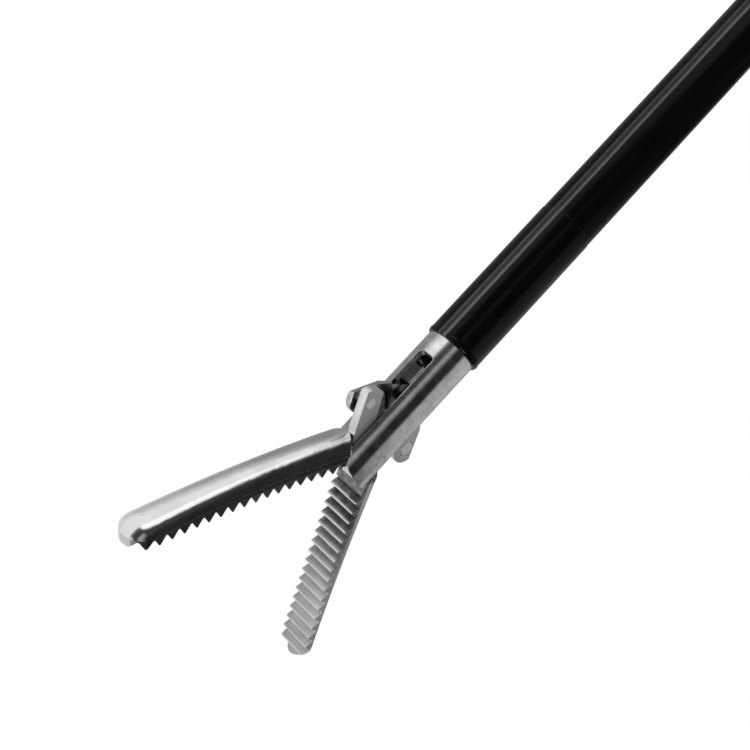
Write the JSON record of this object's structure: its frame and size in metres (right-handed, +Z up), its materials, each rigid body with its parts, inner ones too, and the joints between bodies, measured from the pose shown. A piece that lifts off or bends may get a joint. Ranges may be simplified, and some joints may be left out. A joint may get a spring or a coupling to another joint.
{
  "type": "laparoscopic grasper",
  "caption": "Slim insulated laparoscopic grasper with toothed double-action jaws in a steel clevis, toggle links, drive rod, rotation knob and a ring handle with ratchet.",
  "frame": {"origin": "on the shaft's axis, at the front end of its black insulation, where the steel clevis begins", "axes": "+X along the shaft towards the jaws, jaws and handle lie in the XY plane with the finger loop towards -Y, +Z up as the instrument lies on its side"},
  "size_m": [0.4543, 0.1275, 0.023],
  "materials": {
    "jaw_steel": "polished surgical steel",
    "clevis_steel": "fine turned steel",
    "link_steel": "ground steel",
    "pin_steel": "peened steel",
    "rod_steel": "drawn steel",
    "shaft_steel": "drawn steel tube",
    "black_insulation": "glossy black shrink tube",
    "black_sleeve": "glossy black moulded sleeve",
    "liner_plastic": "white fluoropolymer",
    "black_plastic": "fine moulded grain",
    "knob_plastic": "satin moulded",
    "hub_brass": "turned",
    "seal_rubber": "silicone",
    "lever_steel": "blanked steel",
    "trigger_steel": "tumbled steel",
    "screw_steel": "machined",
    "post_steel": "polished"
  },
  "bodies": {
    "handle": {"left_shell": "black_plastic", "right_shell": "black_plastic", "housing_screws": "screw_steel", "lever_pin": "pin_steel", "pawl_pin": "pin_steel", "contact_post": "post_steel", "post_shroud": "black_plastic", "contact_spring": "rod_steel", "pawl_spring": "rod_steel"},
    "shaft": {"outer_tube": "shaft_steel", "shaft_insulation": "black_insulation", "distal_sleeve": "black_sleeve", "rod_liner": "liner_plastic", "flush_collar": "black_plastic", "rotation_knob": "knob_plastic", "knob_hub": "hub_brass", "shaft_seal": "seal_rubber", "jaw_clevis": "clevis_steel", "jaw_pivot_pin": "pin_steel"},
    "rod": {"drive_rod": "rod_steel", "rod_ball": "rod_steel", "rod_link_pin": "pin_steel"},
    "upper_jaw": {"upper_jaw": "jaw_steel", "upper_link_pin": "pin_steel"},
    "lower_jaw": {"lower_jaw": "jaw_steel", "lower_link_pin": "pin_steel"},
    "upper_link": {"upper_link": "link_steel"},
    "lower_link": {"lower_link": "link_steel"},
    "lever": {"lever_core": "lever_steel", "thumb_grip": "black_plastic", "ratchet_bar": "lever_steel"},
    "pawl": {"release_pawl": "trigger_steel"}
  },
  "joints": [
    {"name": "thumb_lever", "type": "hinge", "parent": "handle", "child": "lever", "pos_m": [-0.3494, -0.00829, 0], "axis": [0, 0, 1], "range_deg": [0, 28]},
    {"name": "shaft_rotation", "type": "hinge", "parent": "handle", "child": "shaft", "pos_m": [0, 0, 0], "axis": [1, 0, 0], "continuous": true},
    {"name": "rod_travel", "type": "slide", "parent": "shaft", "child": "rod", "axis": [-1, 0, 0], "range_m": [0, 0.00413]},
    {"name": "upper_jaw_pivot", "type": "hinge", "parent": "shaft", "child": "upper_jaw", "pos_m": [0.011, 0, 0], "axis": [0, 0, 1], "range_deg": [0, 40]},
    {"name": "lower_jaw_pivot", "type": "hinge", "parent": "shaft", "child": "lower_jaw", "pos_m": [0.011, 0, 0], "axis": [0, 0, -1], "range_deg": [0, 40]},
    {"name": "upper_link_pivot", "type": "hinge", "parent": "upper_jaw", "child": "upper_link", "pos_m": [0.00835, 0.00424, 0], "axis": [0, 0, -1], "range_deg": [0, 78.61]},
    {"name": "lower_link_pivot", "type": "hinge", "parent": "lower_jaw", "child": "lower_link", "pos_m": [0.00835, -0.00424, 0], "axis": [0, 0, 1], "range_deg": [0, 78.61]},
    {"name": "release_trigger", "type": "hinge", "parent": "handle", "child": "pawl", "pos_m": [-0.3319, -0.03129, 0], "axis": [0, 0, -1], "range_deg": [0, 9], "stiffness_Nm_per_rad": 0.05, "springref_deg": -2.86}
  ],
  "couplings": [
    {"joint": "rod_travel", "follows": "thumb_lever", "m_per_rad": 0.0084557},
    {"joint": "upper_jaw_pivot", "follows": "thumb_lever", "ratio": 1.4286},
    {"joint": "lower_jaw_pivot", "follows": "thumb_lever", "ratio": 1.4286},
    {"joint": "upper_link_pivot", "follows": "thumb_lever", "ratio": 2.8075},
    {"joint": "lower_link_pivot", "follows": "thumb_lever", "ratio": 2.8075}
  ]
}
